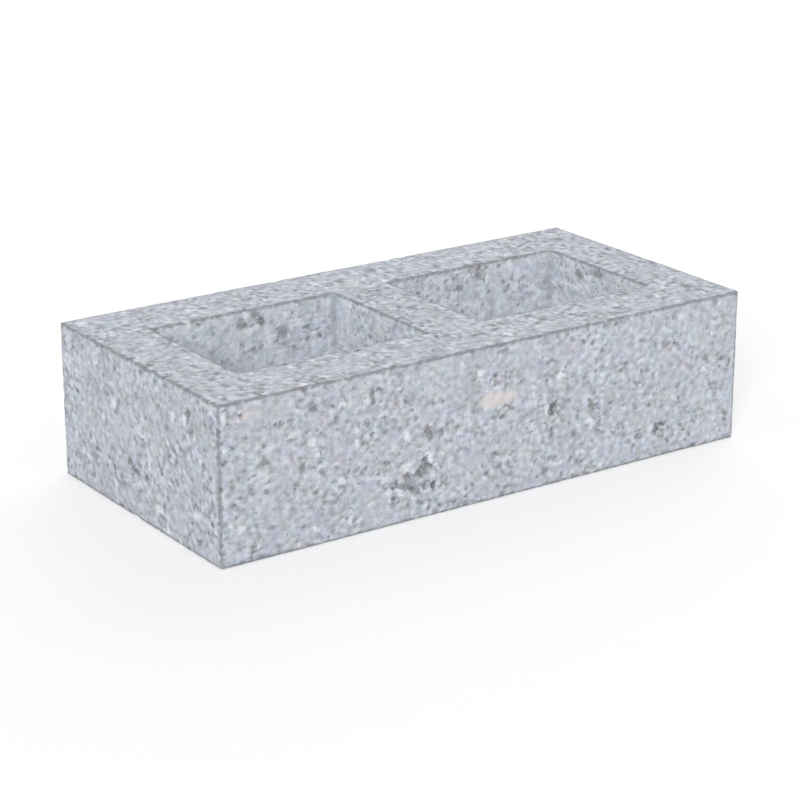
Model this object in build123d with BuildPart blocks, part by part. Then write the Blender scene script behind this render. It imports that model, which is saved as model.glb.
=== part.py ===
from build123d import *
import os

# Half-height hollow concrete block, cast in one piece, lying as it is laid in a wall.
# Units are millimetres. +X runs along the length, +Y across the bed and +Z up.
# The origin is on the floor, under the middle of the block.

# Outside of the block
length = 390.0
width = 190.0
height = 100.0

# Walls round the cores, measured on the upper bed face, where they are thickest
face_shell = 44.0
end_web = 40.0
centre_web = 41.0

# Cores, which the mould's bars leave open from bed to bed
core_count = 2
core_corner_radius = 2.5
core_draft_angle = 1.0  # degrees on each wall, so that the cores widen downwards

# Edges, as the mould and handling leave them
upright_corner_radius = 2.0
arris_radius = 1.0
core_lip_radius = 1.0

# What the walls leave for each core
core_length = (length - 2 * end_web - (core_count - 1) * centre_web) / core_count
core_width = width - 2 * face_shell
core_pitch = core_length + centre_web

with BuildPart() as concrete_block:
    # The moulded body, before its cores
    with BuildSketch(Plane.XY) as bed_outline:
        RectangleRounded(length, width, upright_corner_radius)
    extrude(amount=height)

    # The cores, narrow at the upper bed face and wider at the lower one
    with BuildSketch(Plane.XY.offset(height)) as core_mouths:
        with GridLocations(core_pitch, core_width, core_count, 1):
            RectangleRounded(core_length, core_width, core_corner_radius)
    extrude(amount=-height, taper=-core_draft_angle, mode=Mode.SUBTRACT)

    # Arrises round the outside of both bed faces
    bed_faces = faces().filter_by(Axis.Z)
    fillet([edge for bed in bed_faces for edge in bed.outer_wire().edges()], arris_radius)

    # Lips where the cores break through both bed faces
    bed_faces = faces().filter_by(Axis.Z)
    core_rims = [rim for bed in bed_faces for rim in bed.inner_wires()]
    fillet([edge for rim in core_rims for edge in rim.edges()], core_lip_radius)

concrete_block.part.label = "concrete_block"

os.makedirs("parts", exist_ok=True)
export_step(concrete_block.part, "parts/concrete_block.step")
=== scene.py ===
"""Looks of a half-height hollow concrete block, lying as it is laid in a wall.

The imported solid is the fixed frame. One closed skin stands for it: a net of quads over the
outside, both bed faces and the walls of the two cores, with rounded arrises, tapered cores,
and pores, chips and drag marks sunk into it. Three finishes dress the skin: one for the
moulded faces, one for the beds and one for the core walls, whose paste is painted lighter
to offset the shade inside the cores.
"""

import itertools
import logging
import math
from dataclasses import dataclass
from enum import Enum
from typing import Optional, Sequence, Union

import bpy
import numpy as np
from mathutils import Matrix, Vector


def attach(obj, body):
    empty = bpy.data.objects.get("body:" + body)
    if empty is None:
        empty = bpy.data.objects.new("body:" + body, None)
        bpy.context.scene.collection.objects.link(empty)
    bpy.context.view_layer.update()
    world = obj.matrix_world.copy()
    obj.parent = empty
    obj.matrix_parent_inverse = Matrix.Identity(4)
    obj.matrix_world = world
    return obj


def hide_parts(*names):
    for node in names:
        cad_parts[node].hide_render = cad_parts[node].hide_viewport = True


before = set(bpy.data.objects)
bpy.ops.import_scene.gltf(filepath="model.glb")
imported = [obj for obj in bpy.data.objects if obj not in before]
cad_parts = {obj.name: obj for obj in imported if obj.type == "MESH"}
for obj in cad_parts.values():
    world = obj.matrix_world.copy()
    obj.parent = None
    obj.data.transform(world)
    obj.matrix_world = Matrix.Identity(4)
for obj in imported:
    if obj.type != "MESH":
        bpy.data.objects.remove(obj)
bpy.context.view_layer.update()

MM = 0.001
TINY = 1e-12  # keeps a division by a length from being one by 0

Array = np.ndarray
Colour = tuple[float, float, float]
Size = Union[float, tuple[float, float, float]]

# Blender's types that the hints below name often
Object = bpy.types.Object
Tree = bpy.types.NodeTree
Socket = bpy.types.NodeSocket
Feed = Union[Socket, float, tuple]

log = logging.getLogger("concrete_block")


def stand(name: str, data: bpy.types.ID) -> Object:
    """Makes an object of its data and adds it to the scene.

    Args:
        name: The object's name.
        data: Its mesh, light or camera.

    Returns:
        The object.
    """
    thing = bpy.data.objects.new(name, data)
    bpy.context.scene.collection.objects.link(thing)
    return thing


# Patterns worked out on whole arrays of points

# Large odd numbers that mix a cell's three numbers, the salt, and the two results
CELL_FACTORS, SALT_FACTOR = (73856093, 19349663, 83492791), 2654435761
FOLD_FACTORS = (0x7FEB352D, 0x846CA68B)


def scatter(cells: Array, salt: int) -> Array:
    """Even pseudo-random numbers for whole lattice cells.

    Each of a cell's three whole numbers and the salt is multiplied by a large number of its
    own, and they are added. Twice, the sum's high bits are folded onto its low ones and the
    result is multiplied again, all in 32-bit arithmetic that wraps round. After one more
    fold the result is divided by two to the power of 32.

    Args:
        cells: Whole numbers, shaped (count, 3).
        salt: A number that gives each use a pattern of its own.

    Returns:
        Numbers from 0 to 1, shaped (count,).
    """
    whole = cells.astype(np.int64).astype(np.uint32)
    mixed = np.full(len(cells), salt * SALT_FACTOR % 2**32, np.uint32)
    for axis, factor in enumerate(CELL_FACTORS):
        mixed += whole[:, axis] * np.uint32(factor)
    for factor in FOLD_FACTORS:
        mixed = (mixed ^ (mixed >> np.uint32(15))) * np.uint32(factor)
    return (mixed ^ (mixed >> np.uint32(16))) / float(2**32)


def ramp(values: Array, low: float, high: float) -> Array:
    """Smoothstep of values from low, which gives 0, to high, which gives 1."""
    part = np.clip((values - low) / (high - low), 0, 1)
    return part * part * (3 - 2 * part)


@dataclass(frozen=True)
class Waves:
    """Smooth noise through space.

    The points are divided by the cell size. A random number stands on each corner of each
    cell, and a point takes the eight corners of its cell, each weighed by the smoothstep of
    the point's nearness to it along the three axes.

    Attributes:
        size: Cell size in metres, one number or one for each axis.
        salt: A number that gives each use a pattern of its own.
    """

    size: Size
    salt: int

    def height(self, points: Array) -> Array:
        """The noise at each point.

        Args:
            points: Places in metres, shaped (count, 3).

        Returns:
            Numbers from 0 to 1, shaped (count,).
        """
        scaled = points / self.size
        cell = np.floor(scaled)
        ease = ramp(scaled - cell, 0, 1)
        total = np.zeros(len(points))
        for corner in itertools.product((0, 1), repeat=3):
            weight = np.prod(np.where(np.array(corner) == 1, ease, 1 - ease), axis=1)
            total += weight * scatter(cell + corner, self.salt)
        return total


@dataclass(frozen=True)
class Pits:
    """Round pits strewn through space.

    Each cell of a lattice holds one centre at a random place, and a share of the centres is
    open. A pit's own radius is 0.5 to 1 times the given one, and its depth at a point is 1
    less the square of the distance over that radius. The deepest pit of the 27 cells round
    a point counts.

    Attributes:
        spacing: Cell size in metres.
        share: Part of the cells with an open pit, from 0 to 1.
        radius: Largest radius of a pit, in metres.
        salt: A number that gives each use a pattern of its own.
    """

    spacing: float
    share: float
    radius: float
    salt: int

    def depth(self, points: Array) -> Array:
        """Depth of the deepest pit at each point.

        Args:
            points: Places in metres, shaped (count, 3).

        Returns:
            Depths from 0 to 1, shaped (count,).
        """
        home = np.floor(points / self.spacing)
        depth = np.zeros(len(points))
        for step in itertools.product((-1, 0, 1), repeat=3):
            cell = home + step
            place = np.stack([scatter(cell, self.salt + k) for k in (1, 2, 3)], axis=1)
            reach = self.radius * (0.5 + 0.5 * scatter(cell, self.salt + 4))
            gap = points - (cell + place) * self.spacing
            near = 1 - np.sum(gap**2, axis=1) / reach**2
            depth = np.maximum(depth, np.where(scatter(cell, self.salt) < self.share, near, 0))
        return depth


# Marks on the block's sides


class Mark(Enum):
    """What a blemish is: the name of the vertex attribute that holds its strength."""

    TORN = "torn"  # a patch of open, deep pores
    STONE = "stone"  # a buff stone that shows at the surface
    # pale flecks; beside holes and the crease they are painted highlights on the rims
    LIME = "lime"  # a pale fleck or bloom
    # dark spots; in holes, torn places and the crease they are painted shade
    STAIN = "stain"  # a dull olive spot


class Side(Enum):
    """Surfaces with marks: the number of the axis across each, and its place in mm."""

    FRONT = (1, -95.0)
    BACK = (1, 95.0)
    LEFT_END = (0, -195.0)
    RIGHT_END = (0, 195.0)
    UPPER_BED = (2, 100.0)
    LOWER_BED = (2, 0.0)
    CORE_BACK = (1, 51.4)  # the cores' back walls, some 20 mm below the upper bed
    CORE_END = (0, 155.3)  # the right core's right wall, at about that height


MARK_DEPTH = 6.0  # how far a mark reaches in behind its side, in mm


@dataclass(frozen=True)
class Blemishes:
    """Marks of one kind on one side, each an ellipsoid round a point of the side.

    Attributes:
        mark: What they are.
        side: The surface they are on.
        places: For each mark its middle on the side's two other axes, its half sizes along
            them and its strength. Lengths are in millimetres.
    """

    mark: Mark
    side: Side
    places: Sequence[Sequence[float]]

    def field(self, points: Array) -> Array:
        """Strength of the strongest mark at each point.

        It falls from a mark's middle with the square of the distance over the half sizes,
        and ends at 0.

        Args:
            points: Places in metres, shaped (count, 3).

        Returns:
            Numbers from 0 to 1, shaped (count,).
        """
        axis, level = self.side.value
        flat = np.delete(points, axis, axis=1) / MM
        sunk = ((points[:, axis] / MM - level) / MARK_DEPTH) ** 2
        held = np.zeros(len(points))
        for first, second, wide, high, strength in self.places:
            offset = (flat - (first, second)) / (wide, high)
            held = np.maximum(held, strength * (1 - sunk - np.sum(offset**2, axis=1)))
        return held


# The features that stand out in the picture, placed to the nearest 5 mm
SEEN_MARKS = (
    # The torn place low on the front, then the holes right of it and the one above it
    Blemishes(Mark.TORN, Side.FRONT, (
        (-75, 25, 12, 6, 0.9), (-60, 30, 12, 6, 0.9), (-50, 35, 9, 7, 0.9), (-60, 20, 12, 5, 0.9),
        (-75, 15, 8, 4, 0.7), (-85, 35, 8, 5, 0.8), (-45, 20, 7, 6, 0.8),
        (45, 50, 6, 7, 0.9), (75, 45, 4, 7, 0.8), (130, 20, 8, 7, 0.9), (-50, 55, 5, 6, 0.8),
    )),
    # Painted shade in the same places and along the crease near the top, and the clearest single
    # dark spots
    Blemishes(Mark.STAIN, Side.FRONT, (
        (-65, 25, 12, 5, 0.7), (-55, 30, 7, 4, 1), (-60, 20, 6, 3, 0.9),
        (45, 50, 4, 6, 1), (75, 45, 3.5, 6, 0.8), (130, 20, 5, 4.5, 0.8), (-50, 55, 3.5, 5, 1),
        (-90, 85, 2.5, 9, 0.8), (5, 95, 7, 3, 0.7), (185, 20, 3, 3, 1), (135, 75, 5, 3, 0.8),
        (-165, 60, 4, 4, 1), (-125, 45, 3.5, 3.5, 0.9),
    )),
    # Pale bits in and over the torn place, the white stone, and flecks beside the marks; those
    # beside the holes and the crease are painted highlights on their rims
    Blemishes(Mark.LIME, Side.FRONT, (
        (-65, 35, 5, 4, 1), (-80, 30, 5, 4, 1), (-70, 20, 4, 3, 1), (-50, 40, 4, 3, 1),
        (-65, 55, 3.5, 5, 0.8), (-50, 50, 3.5, 4, 0.8),
        (50, 70, 4.5, 4.5, 1), (40, 50, 3, 4, 0.9), (-95, 85, 3, 6, 0.6), (-130, 10, 4, 3, 0.9),
    )),
    # The long buff stone in the middle, and two small ones
    Blemishes(Mark.STONE, Side.FRONT, (
        (0, 65, 15, 6.5, 1), (10, 65, 9, 5, 1), (25, 25, 5, 3, 0.6), (-175, 90, 6, 4, 0.7),
    )),
    # The rough group low on the left end, and the one by the near top corner
    Blemishes(Mark.TORN, Side.LEFT_END, ((5, 30, 9, 7, 0.7), (-60, 85, 6, 8, 0.6))),
    # Dark spots: in the rough groups they are painted shade
    Blemishes(Mark.STAIN, Side.LEFT_END, (
        (30, 25, 4, 3, 1), (10, 35, 4, 4, 1), (0, 30, 3, 4, 0.9), (-60, 85, 3, 8, 0.8),
        (-65, 75, 4, 4, 0.9), (35, 70, 4, 3, 0.9),
    )),
    Blemishes(Mark.LIME, Side.LEFT_END, ((-75, 60, 3.5, 3, 1), (-25, 15, 6, 4, 0.9))),
    # Spots on the webs and shells, and the pale left corner
    Blemishes(Mark.STAIN, Side.UPPER_BED, (
        (-5, 70, 4, 5, 1), (0, -5, 5, 6, 0.9), (175, 70, 6, 6, 0.8), (180, 25, 4, 5, 0.9),
        (175, -65, 4, 6, 1), (55, -70, 5, 6, 0.8),
    )),
    Blemishes(Mark.LIME, Side.UPPER_BED, ((-185, 85, 6, 6, 0.9),)),
    # The smudges high on the far walls of the cores
    Blemishes(Mark.TORN, Side.CORE_BACK, ((-80, 90, 9, 6, 0.9), (-90, 90, 6, 4, 0.8))),
    Blemishes(Mark.STAIN, Side.CORE_BACK, (
        (-90, 90, 6, 4, 0.9), (-80, 95, 5, 4, 1), (-75, 90, 3, 6, 1), (-60, 80, 8, 7, 0.7),
        (80, 85, 4, 4, 0.9), (95, 90, 4, 4, 0.8), (120, 80, 3, 3, 0.8),
    )),
    Blemishes(Mark.LIME, Side.CORE_BACK, ((-85, 85, 5, 3, 1), (-70, 80, 3, 5, 1))),
    Blemishes(Mark.STAIN, Side.CORE_END, ((20, 90, 6, 5, 1), (0, 95, 7, 4, 1))),
    Blemishes(Mark.LIME, Side.CORE_END, ((10, 90, 5, 3, 0.9), (25, 80, 6, 3, 0.9))),
)


@dataclass(frozen=True)
class StrewnMarks:
    """Small dark spots and pale flecks at random places of the outer sides.

    Attributes:
        seed: The start of the random draws.
        counts: Marks of each kind on each side: fewer where some are listed.
        reach: Where their middles may be along X, Y and Z, in millimetres.
        half_size: Smallest and largest half size, in millimetres.
        strength: Smallest and largest strength.
    """

    seed: int = 11
    counts: tuple[tuple[Side, int], ...] = (
        (Side.FRONT, 7), (Side.LEFT_END, 4), (Side.UPPER_BED, 12),
        (Side.BACK, 16), (Side.RIGHT_END, 8), (Side.LOWER_BED, 16),
    )
    reach: tuple[tuple[float, float], ...] = ((-187, 187), (-87, 87), (8, 92))
    half_size: tuple[float, float] = (3.0, 4.5)
    strength: tuple[float, float] = (0.8, 1.0)

    def build(self) -> list[Blemishes]:
        """Draws the marks.

        Middles, half sizes and strengths are each drawn evenly between their two limits.

        Returns:
            For each side, its dark spots and its pale flecks.
        """
        draw = np.random.default_rng(self.seed)
        marks = []
        for side, count in self.counts:
            low, high = np.delete(np.array(self.reach), side.value[0], axis=0).T
            for mark in (Mark.STAIN, Mark.LIME):
                middles = draw.uniform(low, high, (count, 2))
                sizes = draw.uniform(*self.half_size, (count, 2))
                strengths = draw.uniform(*self.strength, (count, 1))
                marks.append(Blemishes(mark, side, np.hstack([middles, sizes, strengths])))
        return marks


# The block


class Skin(Enum):
    """Kinds of surface on the block: the number of the material slot that each one takes."""

    MOULDED = 0  # the outside faces and ends, against the mould's walls
    BED = 1  # the two faces that take mortar
    CORE = 2  # the walls of the cores, against the mould's bars


@dataclass(frozen=True)
class RoundedPlan:
    """A rounded rectangle in plan, as it is at the height of each point.

    Attributes:
        middle: Its middle along X; along Y that is 0.
        half: Its half sizes, shaped (count, 2).
        radius: Its corner radius, shaped (count,).
        inside: 1 where the concrete is inside it, or -1 outside.
    """

    middle: float
    half: Array
    radius: Array
    inside: int

    def offsets(self, points: Array) -> tuple[Array, Array]:
        """Places in plan from its middle, and how far past its corner centres they are."""
        plan = np.stack([points[:, 0] - self.middle, points[:, 1]], axis=1)
        return plan, np.abs(plan) - (self.half - self.radius[:, None])


@dataclass
class HollowBlock:
    """The cast block: one closed skin with its cores, arrises and weathering.

    Lengths are in metres and the draft is in degrees. The walls and corner radii are those
    of the upper bed face, where the walls are thickest, and the cores widen downwards by
    the draft. Each depth is what its pattern sinks the skin by at its full strength. The two
    spans say where a torn patch and the chips begin and are full, and the pore shade says how
    dark the shade painted into the deepest pore is.
    """

    length: float = 390 * MM
    width: float = 190 * MM
    height: float = 100 * MM
    face_shell: float = 44 * MM
    end_web: float = 40 * MM
    centre_web: float = 41 * MM
    core_corner_radius: float = 2.5 * MM
    core_draft_angle: float = 1.0
    upright_corner_radius: float = 2.0 * MM
    arris_radius: float = 1.0 * MM
    net_spacing: float = 2.0 * MM
    edge_steps: tuple[float, ...] = (0.0, 0.4 * MM, 0.8 * MM, 1.4 * MM)
    corner_fade: float = 10 * MM
    edge_reach: float = 6 * MM
    # How far the painted shade reaches out of the upright corners inside the cores
    nook_reach: float = 5 * MM
    wave: Waves = Waves(45 * MM, 11)
    wave_depth: float = 0.15 * MM
    grit: Waves = Waves(4.5 * MM, 12)
    grit_depth: float = 0.16 * MM
    pores: Pits = Pits(9 * MM, 0.32, 3 * MM, 20)
    pore_depth: float = 0.7 * MM
    # How dark the painted shade in the deepest pore is
    pore_shade: float = 0.7
    torn_pores: Pits = Pits(5 * MM, 0.75, 3.4 * MM, 30)
    torn_depth: float = 2.4 * MM
    torn_between_pores: float = 0.6
    torn_in_pores: float = 0.7
    torn_span: tuple[float, float] = (0.1, 0.9)
    chips: Pits = Pits(26 * MM, 0.4, 7 * MM, 40)
    chip_depth: float = 1.3 * MM
    chip_span: tuple[float, float] = (0.35, 0.95)
    ragged: Waves = Waves(3.2 * MM, 14)
    ragged_depth: float = 0.35 * MM
    drag: Waves = Waves((3.5 * MM, 3.5 * MM, 55 * MM), 13)
    drag_depth: float = 0.2 * MM

    @property
    def core_length(self) -> float:
        """Length of each core at the upper bed: what the three webs leave, halved."""
        return (self.length - 2 * self.end_web - self.centre_web) / 2

    @property
    def core_width(self) -> float:
        """Width of each core at the upper bed: what the two face shells leave."""
        return self.width - 2 * self.face_shell

    @property
    def core_centre(self) -> float:
        """Distance of each core's middle from the middle of the block."""
        return (self.core_length + self.centre_web) / 2

    def walls(self) -> tuple[list[float], list[float], list[float]]:
        """Places of the outside planes and core walls at the upper bed.

        Returns:
            The places along X, along Y and along Z, in metres and in order.
        """
        half, inner = self.core_length / 2, self.core_centre
        along = [-inner - half, -inner + half, inner - half, inner + half]
        return (
            [-self.length / 2, *along, self.length / 2],
            [-self.width / 2, -self.core_width / 2, self.core_width / 2, self.width / 2],
            [0.0, self.height],
        )

    def stations(self, planes: list[float]) -> tuple[Array, Array]:
        """Lattice lines along one axis: close together beside each plane, even between.

        Between two planes, the edge steps are laid off inwards from both, and the rest is
        divided evenly at about the net's spacing.

        Args:
            planes: Places of the walls along the axis, in order.

        Returns:
            The lines, and for each cell between two lines the number of its interval.
        """
        runs, spans = [], []
        steps = np.array(self.edge_steps)
        for number, (low, high) in enumerate(zip(planes, planes[1:])):
            first, last = low + steps, high - steps[::-1]
            count = max(2, round((last[0] - first[-1]) / self.net_spacing))
            even = np.linspace(first[-1], last[0], count + 1)[1:-1]
            run = np.concatenate([first, even, last])
            runs.append(run if number == len(planes) - 2 else run[:-1])
            spans.append(np.full(len(run) - 1, number))
        return np.concatenate(runs), np.concatenate(spans)

    def net(self) -> tuple[Array, Array, Array]:
        """The block's skin as quads over a lattice.

        The lattice's cells are full except those inside the cores. Each side of a full cell
        that faces an empty one is a quad, and its corners run anticlockwise seen from
        outside. Quads share the lattice's points, so the skin is closed.

        Returns:
            Points shaped (count, 3), quads as point numbers shaped (count, 4), and the slot
            number of each quad.
        """
        lines, spans = zip(*(self.stations(planes) for planes in self.walls()))
        # The cores take intervals 1 and 3 along X, and 1 along Y
        in_core = np.isin(spans[0], (1, 3))[:, None] & (spans[1] == 1)[None, :]
        full = np.repeat(~in_core[:, :, None], len(spans[2]), axis=2)
        padded = np.pad(full, 1)
        shape = np.array([len(line) for line in lines])
        corners, slots = [], []
        for axis, side in itertools.product(range(3), (0, 1)):
            neighbour = np.roll(padded, 1 - 2 * side, axis)
            cells = np.argwhere(padded & ~neighbour) - 1
            second, third = (axis + 1) % 3, (axis + 2) % 3
            turn = [(0, 0), (1, 0), (1, 1), (0, 1)]
            for_side = turn if side else turn[::-1]
            quad = np.repeat(cells[:, None, :], 4, axis=1)
            quad[:, :, axis] += side
            quad[:, :, second] += np.array([pair[0] for pair in for_side])
            quad[:, :, third] += np.array([pair[1] for pair in for_side])
            corners.append(quad)
            edge = quad[:, 0, axis]
            outside = (edge == 0) | (edge == shape[axis] - 1)
            slot = np.where(outside, Skin.MOULDED.value, Skin.CORE.value)
            slots.append(np.full(len(cells), Skin.BED.value) if axis == 2 else slot)
        lattice = np.concatenate(corners).reshape(-1, 3)
        flat = np.ravel_multi_index(tuple(lattice.T), tuple(shape))
        used, quads = np.unique(flat, return_inverse=True)
        places = np.stack(np.unravel_index(used, tuple(shape)), axis=1)
        points = np.stack([lines[k][places[:, k]] for k in range(3)], axis=1)
        return points, quads.reshape(-1, 4), np.concatenate(slots)

    def core_drop(self, points: Array) -> Array:
        """What the draft takes off a core's wall: its tangent times the depth below the bed."""
        return math.tan(math.radians(self.core_draft_angle)) * (self.height - points[:, 2])

    def below_bed(self, points: Array) -> Array:
        """Distance of each point from the nearer of the two bed faces."""
        return np.minimum(points[:, 2], self.height - points[:, 2])

    def taper(self, points: Array) -> Array:
        """Widens the cores downwards.

        A point moves along X and Y by the tangent of the draft times its depth below the
        upper bed, times a share that is 0 on the outside, -1 and 1 on the two facing walls
        of a core, and even between.

        Args:
            points: Places in metres, shaped (count, 3).

        Returns:
            The moved points.
        """
        along, across, _ = self.walls()
        drop = self.core_drop(points)
        moved = points.copy()
        moved[:, 0] += drop * np.interp(points[:, 0], along, [0, -1, 1, -1, 1, 0])
        moved[:, 1] += drop * np.interp(points[:, 1], across, [0, -1, 1, 0])
        return moved

    def outlines(self, points: Array) -> list[RoundedPlan]:
        """The outside and then the two cores in plan.

        Args:
            points: Places in metres, shaped (count, 3), of which the heights count.

        Returns:
            The three rounded rectangles, at each point's own height.
        """
        drop = self.core_drop(points)
        core = np.array([self.core_length, self.core_width]) / 2 + drop[:, None]
        body = np.broadcast_to(np.array([self.length, self.width]) / 2, core.shape)
        upright = np.full(len(points), self.upright_corner_radius)
        cores = [
            RoundedPlan(side * self.core_centre, core, self.core_corner_radius + drop, -1)
            for side in (-1, 1)
        ]
        return [RoundedPlan(0.0, body, upright, 1), *cores]

    def round_corners(self, points: Array) -> Array:
        """Rounds the upright corners of the outside and of the cores.

        Round a corner's centre, a point at the greater of its two offsets from the centre
        keeps that number as its true distance, which turns squares into circles. On the far
        side of a core's wall the change fades out, so that the net stays even.

        Args:
            points: Places in metres, shaped (count, 3).

        Returns:
            The moved points.
        """
        moved = points.copy()
        for outline in self.outlines(points):
            plan, offset = outline.offsets(moved)
            square = offset.max(axis=1)
            distance = np.hypot(offset[:, 0], offset[:, 1])
            near = (offset.min(axis=1) > 0) & (square < outline.radius + self.corner_fade)
            fade = 1.0
            if outline.inside < 0:
                fade = 1 - ramp(square - outline.radius, 0, self.corner_fade)
            share = np.where(near, 1 + fade * (square / np.maximum(distance, TINY) - 1), 1)
            shift = np.sign(plan) * offset * (share - 1)[:, None]
            moved[:, :2] += np.where(near[:, None], shift, 0)
        return moved

    def nearest_wall(self, points: Array) -> tuple[Array, Array]:
        """Depth of each point behind the nearest upright wall, and the way out of it.

        The distance to a rounded rectangle is the length of the positive part of the offset
        from its corner centres, plus the greater offset where both are negative, less the
        corner radius.

        Args:
            points: Places in metres, shaped (count, 3).

        Returns:
            Depths in metres, and unit directions in plan shaped (count, 2).
        """
        best = np.full(len(points), np.inf)
        way = np.zeros((len(points), 2))
        for outline in self.outlines(points):
            plan, offset = outline.offsets(points)
            beyond = np.maximum(offset, 0)
            length = np.hypot(beyond[:, 0], beyond[:, 1])
            depth = np.abs(length + np.minimum(offset.max(axis=1), 0) - outline.radius)
            longer = (offset[:, 0] > offset[:, 1])[:, None]
            straight = np.where(longer, np.array([1.0, 0.0]), np.array([0.0, 1.0]))
            curved = beyond / np.maximum(length, TINY)[:, None]
            out = np.where((offset.min(axis=1) > 0)[:, None], curved, straight) * np.sign(plan)
            nearer = depth < best
            best = np.where(nearer, depth, best)
            way = np.where(nearer[:, None], out * outline.inside, way)
        return best, way

    def round_arrises(self, points: Array) -> Array:
        """Rounds the arrises and core lips of both beds.

        In the square of one arris radius beside an edge, a point's two offsets from the
        centre of the rounding are scaled so that the greater of them becomes its true
        distance. The skin's own points then lie on the quarter circle.

        Args:
            points: Places in metres, shaped (count, 3).

        Returns:
            The moved points.
        """
        depth, way = self.nearest_wall(points)
        below = self.below_bed(points)
        inward = np.maximum(self.arris_radius - depth, 0)
        upright = np.maximum(self.arris_radius - below, 0)
        both = (inward > 0) & (upright > 0)
        span = np.maximum(np.hypot(inward, upright), TINY)
        share = np.where(both, np.maximum(inward, upright) / span, 1)
        moved = points.copy()
        moved[:, :2] -= way * (inward * (1 - share))[:, None]
        to_middle = np.where(points[:, 2] > self.height / 2, -1, 1)
        moved[:, 2] += to_middle * upright * (1 - share)
        return moved

    def edge_nearness(self, points: Array) -> Array:
        """1 on an arris, a core lip or an upright corner, and 0 beyond the edge reach.

        The distance from an arris is the greater of the depth behind the nearest wall and
        the depth below the nearest bed. From an upright corner it is the greater of the
        distances to the nearest end and the nearest face.

        Args:
            points: Places in metres, shaped (count, 3).

        Returns:
            Numbers from 0 to 1, shaped (count,).
        """
        depth, _ = self.nearest_wall(points)
        below = self.below_bed(points)
        corner = np.maximum(
            self.length / 2 - np.abs(points[:, 0]), self.width / 2 - np.abs(points[:, 1])
        )
        distance = np.minimum(np.maximum(depth, below), corner)
        return 1 - ramp(distance, 0, self.edge_reach)

    def nook_nearness(self, points: Array) -> Array:
        """1 in the upright corners inside the cores, and 0 beyond the nook reach.

        The distance is the greater of those to the two walls that meet there.

        Args:
            points: Places in metres, shaped (count, 3).

        Returns:
            Numbers from 0 to 1, shaped (count,).
        """
        near = np.zeros(len(points))
        for outline in self.outlines(points)[1:]:
            plan, _ = outline.offsets(points)
            gap = np.abs(outline.half - np.abs(plan)).max(axis=1)
            near = np.maximum(near, 1 - ramp(gap, 0, self.nook_reach))
        return near

    @staticmethod
    def outward(points: Array, quads: Array) -> Array:
        """Unit directions out of the skin at its points.

        Each quad's two diagonals are crossed, and a point adds up its quads' results.

        Args:
            points: Places in metres, shaped (count, 3).
            quads: Point numbers, shaped (count, 4).

        Returns:
            Unit vectors, shaped as the points.
        """
        a, b, c, d = (points[quads[:, k]] for k in range(4))
        cross = np.cross(c - a, d - b)
        total = np.zeros_like(points)
        for k, axis in itertools.product(range(4), range(3)):
            total[:, axis] += np.bincount(quads[:, k], cross[:, axis], len(points))
        return total / np.maximum(np.linalg.norm(total, axis=1), TINY)[:, None]

    def weather(self, points: Array, out: Array, in_core: Array) -> tuple[Array, dict[str, Array]]:
        """Sinks the weathering into the skin, never out of it.

        The depth at a point is a slow wave, grit, round pores, the torn patches' deeper
        pores, and drag marks on the core walls. Near an edge, raggedness and chips are
        added. The point moves back along its outward direction by the sum. A torn patch is
        stronger in its pores, and a smoothstep makes it a mask. Chips fade in towards the
        edge.

        Args:
            points: Places in metres, shaped (count, 3).
            out: Unit directions out of the skin, shaped (count, 3).
            in_core: True at points of a core's wall.

        Returns:
            The moved points, and the attributes that the finishes read.
        """
        traits = {mark.value: np.zeros(len(points)) for mark in Mark}
        for marks in [*SEEN_MARKS, *StrewnMarks().build()]:
            held = traits[marks.mark.value]
            traits[marks.mark.value] = np.maximum(held, marks.field(points))
        edge = self.edge_nearness(points)
        pores, torn_pores = self.pores.depth(points), self.torn_pores.depth(points)
        strength = self.torn_between_pores + self.torn_in_pores * torn_pores
        torn = ramp(traits[Mark.TORN.value] * strength, *self.torn_span)
        ragged = edge * self.ragged.height(points)
        chips = ramp(edge, *self.chip_span) * self.chips.depth(points)
        depth = (
            self.wave_depth * self.wave.height(points)
            + self.grit_depth * self.grit.height(points)
            + self.pore_depth * pores
            + self.torn_depth * torn * torn_pores
            + self.drag_depth * self.drag.height(points) * in_core
            + self.ragged_depth * ragged
            + self.chip_depth * chips
        )
        # Where the finishes paint shade along the edges and on the chips
        traits["edge"] = edge
        # Where the finishes paint shade into the upright corners inside the cores
        traits["nook"] = self.nook_nearness(points) * in_core
        # How dark the painted shade in the pores and torn pores is
        traits["hollow"] = np.clip(np.maximum(pores * self.pore_shade, torn * torn_pores), 0, 1)
        traits["chipped"] = np.clip(chips, 0, 1)
        return points - out * depth[:, None], traits

    def build(self) -> Object:
        """Makes the block's skin as a mesh object and replaces the plain solid with it.

        Returns:
            The finished object, without its materials.
        """
        points, quads, slots = self.net()
        points = self.round_arrises(self.round_corners(self.taper(points)))
        out = self.outward(points, quads)
        in_core = np.zeros(len(points), bool)
        in_core[quads[slots == Skin.CORE.value].ravel()] = True
        points, traits = self.weather(points, out, in_core)

        mesh = bpy.data.meshes.new("block_skin")
        mesh.vertices.add(len(points))
        mesh.vertices.foreach_set("co", points.astype(np.float32).ravel())
        mesh.loops.add(quads.size)
        mesh.loops.foreach_set("vertex_index", quads.astype(np.int32).ravel())
        mesh.polygons.add(len(quads))
        mesh.polygons.foreach_set("loop_start", np.arange(0, quads.size, 4, dtype=np.int32))
        mesh.polygons.foreach_set("material_index", slots.astype(np.int32))
        mesh.polygons.foreach_set("use_smooth", np.ones(len(quads), bool))
        for name, values in traits.items():
            attribute = mesh.attributes.new(name, "FLOAT", "POINT")
            attribute.data.foreach_set("value", values.astype(np.float32))
        mesh.update(calc_edges=True)
        mesh.validate()

        block = stand("block_skin", mesh)
        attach(block, "root")
        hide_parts("concrete_block")
        return block

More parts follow.
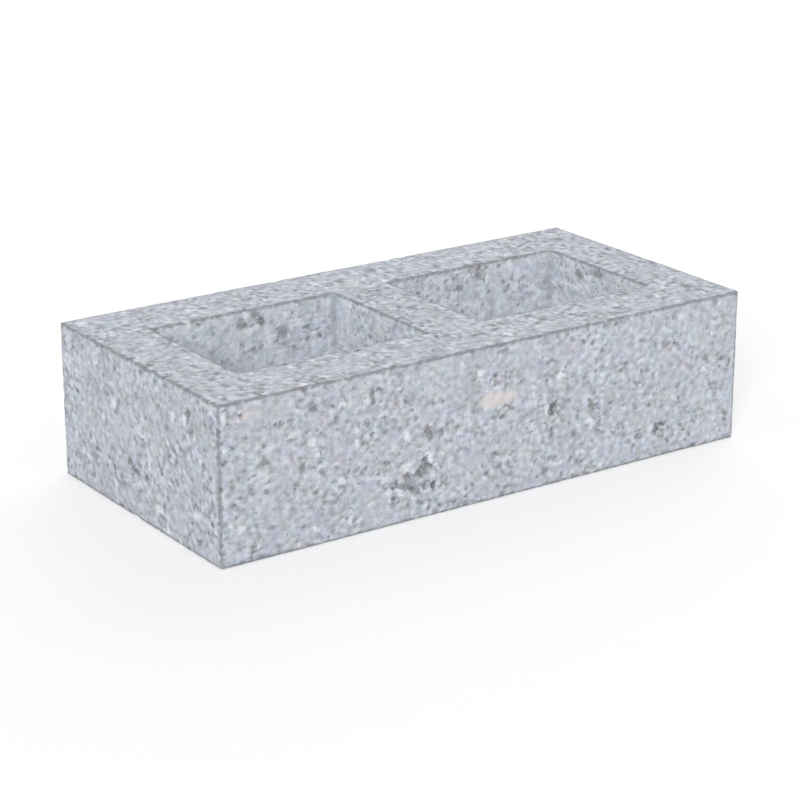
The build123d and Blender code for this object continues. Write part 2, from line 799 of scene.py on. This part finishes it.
    @staticmethod
    def dress(block: Object, finishes: dict[Skin, "ConcreteFinish"]) -> None:
        """Gives each kind of surface its finish, in the order of the slots."""
        for skin in sorted(finishes, key=lambda kind: kind.value):
            block.data.materials.append(finishes[skin].material())


# Shader node groups that the finishes share

# Where masks begin and where they are full. A crown and a grain's middle go by the distance
# from its middle point, a fleck and a speck by the grain's chance, a seam by how far its
# noise is off the middle, and the others by noise, an attribute, or the sum of the two.
CROWN, GRAIN_MIDDLE = (0.85, 0.1), (0.68, 0.08)
FLECK, SPECK = (0.74, 0.96), (0.32, 0.04)
SEAM, SEAM_UNBROKEN = (0.11, 0.01), (0.56, 0.42)
TINT, OPEN_SKIN = (0.34, 0.66), (0.3, 0.7)
EDGE_SHADE_SPAN, MARKED, NEAR_MARK = (0.55, 1.0), (0.1, 0.9), (0.0, 0.3)
PIT_LIMIT, PIT_BOTTOM = 0.38, 0.14

# How much each noise is stretched round its middle
SAND_STRETCH, MOTTLE_STRETCH, DRAG_STRETCH, EDGE_SHADE_STRETCH = 4.0, 2.5, 5.0, 0.9

# Steps to a place where noise is unlike that at the first, and the size of the noise that breaks
# up the painted shade along the edges
SAND_ASIDE, MOTTLE_ASIDE = (13.7, 5.1, 8.9), (7.3, 2.9, 4.1)
EDGE_SHADE_BREAK = 3.4 * MM


class Sheet:
    """A node tree that nodes are laid out on in rows, from left to right."""

    across, down, in_row = 190, 220, 9  # steps from node to node, and nodes in a row

    def __init__(self, tree: Tree) -> None:
        """Starts on an empty tree."""
        self.tree = tree
        tree.nodes.clear()

    def add(self, kind: str, feeds: Optional[dict] = None, **settings: object) -> bpy.types.Node:
        """Adds a node, sets its options, and links or sets its inputs.

        Args:
            kind: Blender's name for the node type.
            feeds: A socket or a constant for each input, by name or number.
            settings: The node's options.

        Returns:
            The new node.
        """
        node = self.tree.nodes.new(kind)
        row, column = divmod(len(self.tree.nodes), self.in_row)
        node.location = (self.across * column, -self.down * row)
        for name, value in settings.items():
            setattr(node, name, value)
        for name, value in (feeds or {}).items():
            self.give(node.inputs[name], value)
        return node

    def give(self, target: Socket, value: Feed) -> None:
        """Links a result to the socket that takes it, or sets the socket to a constant.

        Args:
            target: The socket to link to or set.
            value: The result or the constant.
        """
        if isinstance(value, Socket):
            self.tree.links.new(value, target)
        else:
            target.default_value = value

    def end(self, kind: str, shader: bpy.types.Node) -> None:
        """Adds the tree's own output and links the shader to it."""
        self.give(self.add(kind).inputs[0], shader.outputs[0])

    def noise(
        self, place: Feed, detail: float, scale: float = 1.0, roughness: float = 0.5
    ) -> Socket:
        """Smooth noise at a place; returns its number, from 0 to 1 and mostly near 0.5."""
        feeds = {"Vector": place, "Scale": scale, "Detail": detail, "Roughness": roughness}
        return self.add("ShaderNodeTexNoise", feeds).outputs["Fac"]

    def centred(self, value: Feed, stretch: float, middle: float = 0.5) -> Socket:
        """What a value has over its middle, times the stretch."""
        return self.maths("MULTIPLY_ADD", value, stretch, -stretch * middle)

    def maths(self, operation: str, *terms: Feed, clamp: bool = False) -> Socket:
        """One operation on numbers; returns its result."""
        feeds = dict(enumerate(terms))
        return self.add("ShaderNodeMath", feeds, operation=operation, use_clamp=clamp).outputs[0]

    def vectors(self, operation: str, *terms: Feed) -> Socket:
        """One operation on vectors; returns its result."""
        feeds = dict(enumerate(terms))
        return self.add("ShaderNodeVectorMath", feeds, operation=operation).outputs[0]

    def blend(self, factor: Feed, first: Feed, second: Feed) -> Socket:
        """Mixes two colours.

        Args:
            factor: The share of the second colour, from 0 to 1.
            first: A result, or a constant of three numbers.
            second: The same.

        Returns:
            The mixed colour.
        """
        first, second = (
            value if isinstance(value, Socket) else (*value, 1.0) for value in (first, second)
        )
        node = self.add("ShaderNodeMix", {0: factor, 6: first, 7: second}, data_type="RGBA")
        return node.outputs[2]

    def smooth(self, value: Feed, low: Feed, high: Feed) -> Socket:
        """Smoothstep of a value from low, which gives 0, to high, which gives 1."""
        feeds = {"Value": value, "From Min": low, "From Max": high}
        return self.add("ShaderNodeMapRange", feeds, interpolation_type="SMOOTHSTEP").outputs[0]

    def group(self, tree: Tree, **feeds: Feed) -> bpy.types.Node:
        """Places a node group.

        Args:
            tree: The group's node tree.
            feeds: A socket or a constant for each input, by its name with _ for a space.

        Returns:
            The group's node.
        """
        node = self.add("ShaderNodeGroup", node_tree=tree)
        for name, value in feeds.items():
            self.give(node.inputs[name.replace("_", " ").title()], value)
        return node


def new_material(name: str) -> tuple[bpy.types.Material, Sheet]:
    """Starts a material.

    Args:
        name: The material's name.

    Returns:
        The material, and the sheet to draw its nodes on.
    """
    material = bpy.data.materials.new(name)
    material.use_nodes = True
    return material, Sheet(material.node_tree)


def new_group(name: str, inputs: dict[str, str], outputs: list[str]) -> tuple[Sheet, dict, dict]:
    """Starts a shader node group.

    Args:
        name: The group's name.
        inputs: The kind of each input, Vector or Float, by name.
        outputs: The names of its number outputs.

    Returns:
        The sheet to draw on, the group's inputs as sockets to read, and its outputs as
        sockets to link to.
    """
    tree = bpy.data.node_groups.new(name, "ShaderNodeTree")
    sheet = Sheet(tree)
    for label, kind in inputs.items():
        tree.interface.new_socket(label, in_out="INPUT", socket_type=f"NodeSocket{kind}")
    for label in outputs:
        tree.interface.new_socket(label, in_out="OUTPUT", socket_type="NodeSocketFloat")
    start, end = sheet.add("NodeGroupInput"), sheet.add("NodeGroupOutput")
    return (
        sheet,
        {label: start.outputs[label] for label in inputs},
        {label: end.inputs[label] for label in outputs},
    )


def flattened(sheet: Sheet, given: dict) -> Socket:
    """A place in grains: the position over the grain size, with Z times the flatness first.

    Args:
        sheet: The sheet of the group.
        given: The group's inputs, as sockets to read.

    Returns:
        The place.
    """
    scale = sheet.add("ShaderNodeCombineXYZ", {0: 1.0, 1: 1.0, 2: given["Flatness"]})
    taller = sheet.vectors("MULTIPLY", given["Position"], scale.outputs[0])
    return sheet.vectors("DIVIDE", taller, given["Grain Size"])


def grain_group() -> Tree:
    """Sand and stone grains packed in cement.

    The position, taller by the flatness, is divided by the grain size, so that the grains
    lie flat as tamping leaves them, and it is bent by noise. The distance from there to the
    nearest of the grains' random middles gives the crown, which rises from 0 to 1 as it
    falls from 0.85 to 0.1. Each grain has a random tone from -1 to 1, which counts on its
    crown. About one in six is a pale fleck in its middle, and as many are dark specks.

    Returns:
        The group's node tree.
    """
    sheet, given, result = new_group(
        "Packed Grain",
        {"Position": "Vector", "Grain Size": "Float", "Flatness": "Float"},
        ["Tone", "Speck", "Fleck", "Height"],
    )
    place = flattened(sheet, given)
    warp = sheet.add("ShaderNodeTexNoise", {"Vector": place, "Scale": 1.1, "Detail": 1.0})
    bent = sheet.vectors("ADD", warp.outputs["Color"], place)
    cells = sheet.add("ShaderNodeTexVoronoi", {"Vector": bent, "Scale": 1.0, "Randomness": 1.0})
    far = cells.outputs["Distance"]
    chance = sheet.add("ShaderNodeSeparateColor", {0: cells.outputs["Color"]}).outputs
    crown = sheet.smooth(far, *CROWN)
    own = sheet.centred(chance[1], 2.0)
    sheet.give(result["Tone"], sheet.maths("MULTIPLY", own, crown))
    middle = sheet.smooth(far, *GRAIN_MIDDLE)
    for label, lot, span in (("Fleck", 0, FLECK), ("Speck", 2, SPECK)):
        chosen = sheet.smooth(chance[lot], *span)
        sheet.give(result[label], sheet.maths("MULTIPLY", chosen, middle))
    sheet.give(result["Height"], crown)
    return sheet.tree


def sand_group() -> Tree:
    """Soft unevenness of the cement skin over the sand, and the pits in it.

    Noise at the grain size, flat as the grains are, has its distance from the middle
    stretched to a tone round 0. A second noise opens a pit where it falls under 0.38, and
    the openness lifts that limit. The pit mask reaches 1 at 0.24 below the limit. A seam
    runs where the second noise is near its middle, and breaks off where the first is high.

    Returns:
        The group's node tree.
    """
    sheet, given, result = new_group(
        "Sand Skin",
        {"Position": "Vector", "Grain Size": "Float", "Flatness": "Float", "Openness": "Float"},
        ["Tone", "Pit", "Seam"],
    )
    place = flattened(sheet, given)
    noise = sheet.noise(place, detail=2.0, roughness=0.42)
    sheet.give(result["Tone"], sheet.centred(noise, SAND_STRETCH))
    aside = sheet.vectors("ADD", place, SAND_ASIDE)
    second = sheet.noise(aside, detail=1.0, scale=1.1, roughness=0.4)
    limit = sheet.maths("ADD", given["Openness"], PIT_LIMIT)
    bottom = sheet.maths("ADD", given["Openness"], PIT_BOTTOM)
    sheet.give(result["Pit"], sheet.smooth(second, limit, bottom))
    off_middle = sheet.maths("ABSOLUTE", sheet.centred(second, 1.0))
    unbroken = sheet.smooth(noise, *SEAM_UNBROKEN)
    seam = sheet.maths("MULTIPLY", sheet.smooth(off_middle, *SEAM), unbroken)
    sheet.give(result["Seam"], seam)
    return sheet.tree


def mottle_group() -> Tree:
    """Slow change of tone, tint and openness where the mix was richer, drier or damper.

    Two noises, one at the patch size and one at a third of it, are added and centred on 0
    for the tone. A third noise turns the tint from cool to warm, a fourth from green to
    rosy, and a fifth says where the skin is open.

    Returns:
        The group's node tree.
    """
    sheet, given, result = new_group(
        "Mottle",
        {"Position": "Vector", "Patch Size": "Float"},
        ["Tone", "Warmth", "Blush", "Open"],
    )
    place = sheet.vectors("DIVIDE", given["Position"], given["Patch Size"])
    close = sheet.noise(place, detail=2.0, scale=3.1)
    both = sheet.maths("ADD", sheet.noise(place, detail=1.0), close)
    sheet.give(result["Tone"], sheet.centred(both, MOTTLE_STRETCH, middle=1.0))
    aside = sheet.vectors("ADD", place, MOTTLE_ASIDE)
    for label, where in (("Warmth", place), ("Blush", aside)):
        tint = sheet.noise(where, detail=3.0, scale=4.0)
        sheet.give(result[label], sheet.smooth(tint, *TINT))
    opened = sheet.noise(aside, detail=1.0, scale=1.7)
    sheet.give(result["Open"], sheet.smooth(opened, *OPEN_SKIN))
    return sheet.tree


def drag_group() -> Tree:
    """Upright marks that the mould leaves as it is drawn off.

    The position is divided by the width of a mark across, and by its length along Z, and
    noise at that scale is centred on 0.

    Returns:
        The group's node tree.
    """
    sheet, given, result = new_group(
        "Drag Marks", {"Position": "Vector", "Width": "Float", "Length": "Float"}, ["Tone"]
    )
    size = sheet.add(
        "ShaderNodeCombineXYZ", {0: given["Width"], 1: given["Width"], 2: given["Length"]}
    )
    place = sheet.vectors("DIVIDE", given["Position"], size.outputs[0])
    noise = sheet.noise(place, detail=3.0)
    sheet.give(result["Tone"], sheet.centred(noise, DRAG_STRETCH))
    return sheet.tree


def edge_shade_group() -> Tree:
    """Mask of painted shade along arrises and lips.

    The nearness to an edge is broken up by noise, and what is left over a threshold is
    the mask. Chips are in it too, and take the same painted shade.

    Returns:
        The group's node tree.
    """
    sheet, given, result = new_group(
        "Painted Arris Shade", {"Position": "Vector", "Edge": "Float", "Chipped": "Float"}, ["Mask"]
    )
    place = sheet.vectors("DIVIDE", given["Position"], (EDGE_SHADE_BREAK, EDGE_SHADE_BREAK, EDGE_SHADE_BREAK))
    rough = sheet.centred(sheet.noise(place, detail=2.0), EDGE_SHADE_STRETCH)
    shaded_edge = sheet.smooth(sheet.maths("ADD", given["Edge"], rough), *EDGE_SHADE_SPAN)
    sheet.give(result["Mask"], sheet.maths("MAXIMUM", shaded_edge, given["Chipped"]))
    return sheet.tree


def blemish_group() -> Tree:
    """Broken outline for a blemish whose strength an attribute holds.

    Noise round 0, times the raggedness, is added to the strength, and a smoothstep turns
    the sum into a mask, so that the mark doesn't end along its ellipsoid.

    Returns:
        The group's node tree.
    """
    sheet, given, result = new_group(
        "Blemish Outline",
        {"Position": "Vector", "Strength": "Float", "Grain Size": "Float", "Raggedness": "Float"},
        ["Mask"],
    )
    place = sheet.vectors("DIVIDE", given["Position"], given["Grain Size"])
    rough = sheet.centred(sheet.noise(place, detail=2.0), 1.0)
    total = sheet.maths("MULTIPLY_ADD", rough, given["Raggedness"], given["Strength"])
    there = sheet.smooth(given["Strength"], *NEAR_MARK)
    sheet.give(result["Mask"], sheet.maths("MULTIPLY", sheet.smooth(total, *MARKED), there))
    return sheet.tree


@dataclass
class PatternBook:
    """The node groups, each one built once."""

    grain: Tree
    sand: Tree
    mottle: Tree
    drag: Tree
    edge_shade: Tree
    blemish: Tree

    @classmethod
    def make(cls) -> "PatternBook":
        """Builds every group."""
        makers = (grain_group, sand_group, mottle_group, drag_group, edge_shade_group, blemish_group)
        return cls(*(maker() for maker in makers))


# Grain size in metres, and raggedness, of the broken outline of each kind of mark
BROKEN_OUTLINES = {
    Mark.TORN: (7.0 * MM, 2.2),
    Mark.LIME: (3.0 * MM, 1.6),
    Mark.STONE: (5.0 * MM, 1.1),
    Mark.STAIN: (4.0 * MM, 1.3),
}


@dataclass(frozen=True)
class ConcreteFinish:
    """Bare dry-cast concrete on one kind of surface.

    Colours are linear, and sizes are in metres. Reliefs are heights in millimetres, and the
    tones say how far each pattern moves the paste from dark to light. The lively numbers say
    how much grains and sand count in closed skin, and what open and torn skin add to that.
    The openness lifts the limit of the pits: everywhere, in open patches and in torn places.
    Shares, amounts, depths and the fleck's light say how strongly a mark's, an edge's or a
    pit's colour covers what is under it. The colours of the edges, the core corners and the
    pits are painted shade.
    """

    name: str
    patterns: PatternBook
    dark_paste: Colour = (0.190, 0.200, 0.222)
    light_paste: Colour = (0.815, 0.855, 0.945)
    cool_tint: Colour = (0.973, 1.0, 1.032)
    warm_tint: Colour = (1.025, 0.996, 0.968)
    green_tint: Colour = (0.990, 1.016, 0.992)
    rosy_tint: Colour = (1.010, 0.984, 1.008)
    # Painted shade in the pits, the dark specks and the pores
    pit_shade_colour: Colour = (0.150, 0.150, 0.143)
    # Pale grains and flecks; beside holes and the crease the pale marks are painted highlights
    pale_fleck_colour: Colour = (0.84, 0.86, 0.90)
    stone_colour: Colour = (0.745, 0.675, 0.655)
    # Dark spots; in holes, torn places and the crease they are painted shade
    dark_spot_colour: Colour = (0.205, 0.205, 0.195)
    # Painted shade along the edges, on the chips and in the corners inside the cores
    painted_shade_colour: Colour = (0.17, 0.175, 0.185)
    grain_size: float = 4.5 * MM
    sand_size: float = 4.5 * MM
    flatness: float = 1.15
    middle_tone: float = 0.52
    grain_tone: float = 0.14
    sand_tone: float = 0.26
    mottle_tone: float = 0.045
    patch_size: float = 34 * MM
    lively_closed: float = 0.62
    lively_open: float = 0.75
    lively_torn: float = 1.3
    openness: float = -0.03
    open_patches: float = 0.07
    torn_openness: float = 0.09
    # How strongly painted shade covers the pits, the dark specks and the pores
    pit_depth: float = 0.68
    speck_depth: float = 0.68
    hollow_depth: float = 0.3
    fleck_light: float = 0.60
    pale_fleck_share: float = 0.8
    stone_share: float = 0.75
    dark_spot_share: float = 0.72
    drag_width: float = 2.4 * MM
    drag_length: float = 38 * MM
    drag_tone: float = 0.008
    grain_relief: float = 0.20
    sand_relief: float = 0.12
    pit_relief: float = 0.45
    drag_relief: float = 0.05
    # How strongly the painted shade covers the edges and chips
    edge_shade_amount: float = 0.66
    # How strongly painted shade darkens the upright corners inside the cores
    core_corner_shade_amount: float = 0.55
    roughness: float = 0.93
    roughness_spread: float = 0.06
    gloss: float = 0.25

    def material(self) -> bpy.types.Material:
        """Builds the finish.

        The tone of the paste is the sum of sand, grains, mottle and drag marks round the
        middle tone between its dark and light colours. Where the skin is open or torn, sand
        and grains count for more and there are more pits. Flecks, painted shade on the edges
        and in the core corners, pale marks, stones, dark spots and then all pits and dark
        specks are laid over it in turn. The pits and specks take painted shade, and so do the
        dark spots in holes, torn places and the crease; pale marks beside holes and the crease
        are painted highlights. Grains and sand raise the surface, pits and specks lower it, and
        drag marks do both.

        Returns:
            The material.
        """
        material, sheet = new_material(self.name)
        book = self.patterns
        place = sheet.add("ShaderNodeTexCoord").outputs["Object"]

        def held(name: str) -> Socket:
            """The skin's attribute of that name."""
            return sheet.add("ShaderNodeAttribute", attribute_name=name).outputs["Fac"]

        def outline(mark: Mark) -> Socket:
            """The mask of one kind of mark."""
            size, raggedness = BROKEN_OUTLINES[mark]
            return sheet.group(
                book.blemish, position=place, strength=held(mark.value), grain_size=size,
                raggedness=raggedness,
            ).outputs[0]

        def share(mask: Socket, amount: float) -> Socket:
            """A mask made weaker."""
            return sheet.maths("MULTIPLY", mask, amount)

        mottle = sheet.group(book.mottle, position=place, patch_size=self.patch_size)
        drag = sheet.group(
            book.drag, position=place, width=self.drag_width, length=self.drag_length
        )
        torn = outline(Mark.TORN)
        patchy = mottle.outputs["Open"]
        opened = sheet.maths("MULTIPLY_ADD", patchy, self.open_patches, self.openness)
        opened = sheet.maths("MULTIPLY_ADD", torn, self.torn_openness, opened)
        grain = sheet.group(
            book.grain, position=place, grain_size=self.grain_size, flatness=self.flatness
        )
        sand = sheet.group(
            book.sand, position=place, grain_size=self.sand_size, flatness=self.flatness,
            openness=opened,
        )
        seam = sheet.maths("MULTIPLY", sand.outputs["Seam"], torn)
        pit = sheet.maths("MAXIMUM", sand.outputs["Pit"], seam)

        lively = sheet.maths("MULTIPLY_ADD", patchy, self.lively_open, self.lively_closed)
        lively = sheet.maths("MULTIPLY_ADD", torn, self.lively_torn, lively)
        tone = sheet.maths("MULTIPLY", sand.outputs["Tone"], self.sand_tone)
        tone = sheet.maths("MULTIPLY_ADD", grain.outputs["Tone"], self.grain_tone, tone)
        tone = sheet.maths("MULTIPLY_ADD", tone, lively, self.middle_tone)
        tone = sheet.maths("MULTIPLY_ADD", mottle.outputs["Tone"], self.mottle_tone, tone)
        tone = sheet.maths("MULTIPLY_ADD", drag.outputs[0], self.drag_tone, tone, clamp=True)
        colour = sheet.blend(tone, self.dark_paste, self.light_paste)
        warmth = sheet.blend(mottle.outputs["Warmth"], self.cool_tint, self.warm_tint)
        blush = sheet.blend(mottle.outputs["Blush"], self.green_tint, self.rosy_tint)
        for tint in (warmth, blush):
            colour = sheet.vectors("MULTIPLY", colour, tint)

        # Painted shade: a dark band along the arrises, lips and chips, and in the upright corners
        # inside the cores
        edge_shade = sheet.group(
            book.edge_shade, position=place, edge=held("edge"), chipped=held("chipped")
        ).outputs[0]
        nook = share(held("nook"), self.core_corner_shade_amount)
        painted_shade = sheet.maths("MAXIMUM", share(edge_shade, self.edge_shade_amount), nook)
        stone = outline(Mark.STONE)
        whole = sheet.maths("SUBTRACT", 1.0, stone, clamp=True)
        pit = sheet.maths("MULTIPLY", pit, whole)
        busy = sheet.maths("MULTIPLY", whole, sheet.maths("MINIMUM", lively, 1.0))
        speck = sheet.maths("MULTIPLY", grain.outputs["Speck"], busy)
        # Painted shade in the pits, the dark specks and the pores
        dark = sheet.maths("MAXIMUM", share(pit, self.pit_depth), share(speck, self.speck_depth))
        dark = sheet.maths("MAXIMUM", dark, share(held("hollow"), self.hollow_depth))
        layers = (
            (share(grain.outputs["Fleck"], self.fleck_light), self.pale_fleck_colour),
            (painted_shade, self.painted_shade_colour),
            (share(outline(Mark.LIME), self.pale_fleck_share), self.pale_fleck_colour),
            (share(stone, self.stone_share), self.stone_colour),
            (share(outline(Mark.STAIN), self.dark_spot_share), self.dark_spot_colour),
            (dark, self.pit_shade_colour),
        )
        for mask, layer in layers:
            colour = sheet.blend(mask, colour, layer)

        height = share(grain.outputs["Height"], self.grain_relief)
        height = sheet.maths("MULTIPLY_ADD", sand.outputs["Tone"], self.sand_relief, height)
        for hole in (pit, speck):
            height = sheet.maths("MULTIPLY_ADD", hole, -self.pit_relief, height)
        height = sheet.maths("MULTIPLY_ADD", drag.outputs[0], self.drag_relief, height)
        bump = sheet.add("ShaderNodeBump", {"Strength": 1.0, "Distance": MM, "Height": height})
        smoothest = self.roughness - self.roughness_spread / 2
        rough = sheet.maths("MULTIPLY_ADD", tone, self.roughness_spread, smoothest, clamp=True)
        shader = sheet.add(
            "ShaderNodeBsdfPrincipled",
            {"Base Color": colour, "Roughness": rough, "Normal": bump.outputs[0],
             "Specular IOR Level": self.gloss},
        )
        sheet.end("ShaderNodeOutputMaterial", shader)
        return material


# The studio


@dataclass(frozen=True)
class SoftSun:
    """An even, soft light.

    Attributes:
        name: The light's name.
        toward: The direction from the block to the light.
        level: Brightness on a surface that faces the light. At 1 it is as bright as its
            colour is written, which takes a strength of pi.
        angle: Width of the light in the sky, in degrees.
    """

    name: str
    toward: tuple[float, float, float]
    level: float
    angle: float

    def hang(self) -> None:
        """Adds the light to the scene."""
        data = bpy.data.lights.new(self.name, "SUN")
        data.energy = self.level * math.pi
        data.angle = math.radians(self.angle)
        light = stand(self.name, data)
        light.rotation_euler = Vector(self.toward).to_track_quat("Z", "Y").to_euler()


@dataclass
class Studio:
    """Camera, lights, world and floor.

    The camera stands at the picture's angle: a negative azimuth turns it from straight in
    front towards the left end, in degrees. Its focal length is in pixels of the picture,
    and other lengths are in metres, but the sensor's width is in millimetres.
    """

    azimuth: float = -34.77
    elevation: float = 19.26
    distance: float = 1.598
    focal_pixels: float = 2508.0
    picture_pixels: float = 800.0
    aim: tuple[float, float, float] = (0.0, 0.0, 0.045)
    slide_right: float = -0.0038
    slide_up: float = -0.0072
    sensor_width: float = 36.0
    floor_reach: float = 14.0
    floor_colour: Colour = (0.65, 0.65, 0.655)
    sky_level: float = 0.57
    floor_glow: float = 0.36
    lights: tuple[SoftSun, ...] = (
        SoftSun("key", (-0.56, -0.60, 0.42), 0.62, 22),
        SoftSun("fill", (0.62, 0.54, 0.34), 0.36, 60),
    )

    def camera(self) -> None:
        """Places the camera.

        The way back from the aim is (sin a cos e, -cos a cos e, sin e) for azimuth a and
        elevation e, and the way right is (cos a, sin a, 0). The lens is the focal length in
        pixels over the picture's width, times the sensor's width.
        """
        turn, tilt = math.radians(self.azimuth), math.radians(self.elevation)
        right = Vector((math.cos(turn), math.sin(turn), 0))
        back = Vector((
            math.sin(turn) * math.cos(tilt), -math.cos(turn) * math.cos(tilt), math.sin(tilt)
        ))
        up = back.cross(right)
        place = Vector(self.aim) + back * self.distance
        place = place + right * self.slide_right + up * self.slide_up
        data = bpy.data.cameras.new("camera")
        data.sensor_width = self.sensor_width
        data.lens = self.focal_pixels / self.picture_pixels * self.sensor_width
        camera = stand("camera", data)
        turned = Matrix((right, up, back)).transposed().to_4x4()
        camera.matrix_world = Matrix.Translation(place) @ turned
        bpy.context.scene.camera = camera

    def world(self) -> None:
        """White to the camera and in gloss, and an even grey light for everything else."""
        world = bpy.data.worlds.new("studio")
        world.use_nodes = True
        bpy.context.scene.world = world
        sheet = Sheet(world.node_tree)
        ray = sheet.add("ShaderNodeLightPath").outputs
        seen = sheet.maths("ADD", ray["Is Camera Ray"], ray["Is Glossy Ray"])
        seen = sheet.maths("ADD", seen, ray["Is Transmission Ray"], clamp=True)
        level = sheet.add("ShaderNodeMix", {0: seen, 2: self.sky_level, 3: 1.0}, data_type="FLOAT")
        sky = sheet.add("ShaderNodeBackground", {0: (1, 1, 1, 1), 1: level.outputs[0]})
        sheet.end("ShaderNodeOutputWorld", sky)

    def floor(self) -> None:
        """Lays a plain pale floor: a flat disc of rings.

        The rings' radii grow with the square of their number. The camera sees the floor a
        little brighter, so that it runs into the white behind it and still keeps the
        block's shadow.
        """
        turns, rings = 96, 24
        angle = np.linspace(0, 2 * math.pi, turns, endpoint=False)
        radius = np.linspace(0, 1, rings + 1)[1:] ** 2 * self.floor_reach
        ring, spoke = np.meshgrid(radius, angle, indexing="ij")
        rim = np.stack([ring * np.cos(spoke), ring * np.sin(spoke), np.zeros_like(ring)], axis=2)
        points = np.vstack([np.zeros((1, 3)), rim.reshape(-1, 3)])
        number = np.arange(rings * turns).reshape(rings, turns) + 1
        after = np.roll(number, -1, axis=1)
        bands = np.stack([number[:-1], number[1:], after[1:], after[:-1]], axis=2).reshape(-1, 4)
        middle = np.stack([np.zeros(turns, int), number[0], after[0]], axis=1)
        mesh = bpy.data.meshes.new("studio_floor")
        mesh.from_pydata(points.tolist(), [], middle.tolist() + bands.tolist())
        material, sheet = new_material("pale floor")
        camera_ray = sheet.add("ShaderNodeLightPath").outputs["Is Camera Ray"]
        shader = sheet.add(
            "ShaderNodeBsdfPrincipled",
            {
                "Base Color": (*self.floor_colour, 1),
                "Roughness": 0.95,
                "Specular IOR Level": 0.0,
                "Emission Color": (1, 1, 1, 1),
                "Emission Strength": sheet.maths("MULTIPLY", camera_ray, self.floor_glow),
            },
        )
        sheet.end("ShaderNodeOutputMaterial", shader)
        mesh.materials.append(material)
        floor = stand("studio_floor", mesh)

    def set_up(self) -> None:
        """Builds the whole studio."""
        self.camera()
        for light in self.lights:
            light.hang()
        self.world()
        self.floor()
        bpy.context.scene.view_settings.view_transform = "Standard"


def main() -> None:
    """Builds the studio and the block."""
    logging.basicConfig(level=logging.INFO, format="%(name)s: %(message)s")
    Studio().set_up()
    log.info("studio ready")

    maker = HollowBlock()
    block = maker.build()
    triangles = sum(len(face.vertices) - 2 for face in block.data.polygons)
    log.info("%s: %d points, %d triangles", block.name, len(block.data.vertices), triangles)

    book = PatternBook.make()
    finishes = {
        Skin.MOULDED: ConcreteFinish("moulded face", book),
        Skin.BED: ConcreteFinish(
            "bed face", book, light_paste=(0.790, 0.829, 0.916), grain_size=4.2 * MM,
            sand_size=4.2 * MM, sand_tone=0.31, grain_tone=0.16,
        ),
        # The core walls' paste is painted lighter than the rest, to offset the shade inside the
        # cores
        Skin.CORE: ConcreteFinish(
            "core wall", book, dark_paste=(0.300, 0.315, 0.365), light_paste=(0.895, 0.940, 1.0),
            drag_tone=0.016, drag_relief=0.1,
        ),
    }
    maker.dress(block, finishes)
    for skin, finish in finishes.items():
        log.info("%s: %s", skin.name.lower(), finish.name)


if __name__ == "__main__":
    main()
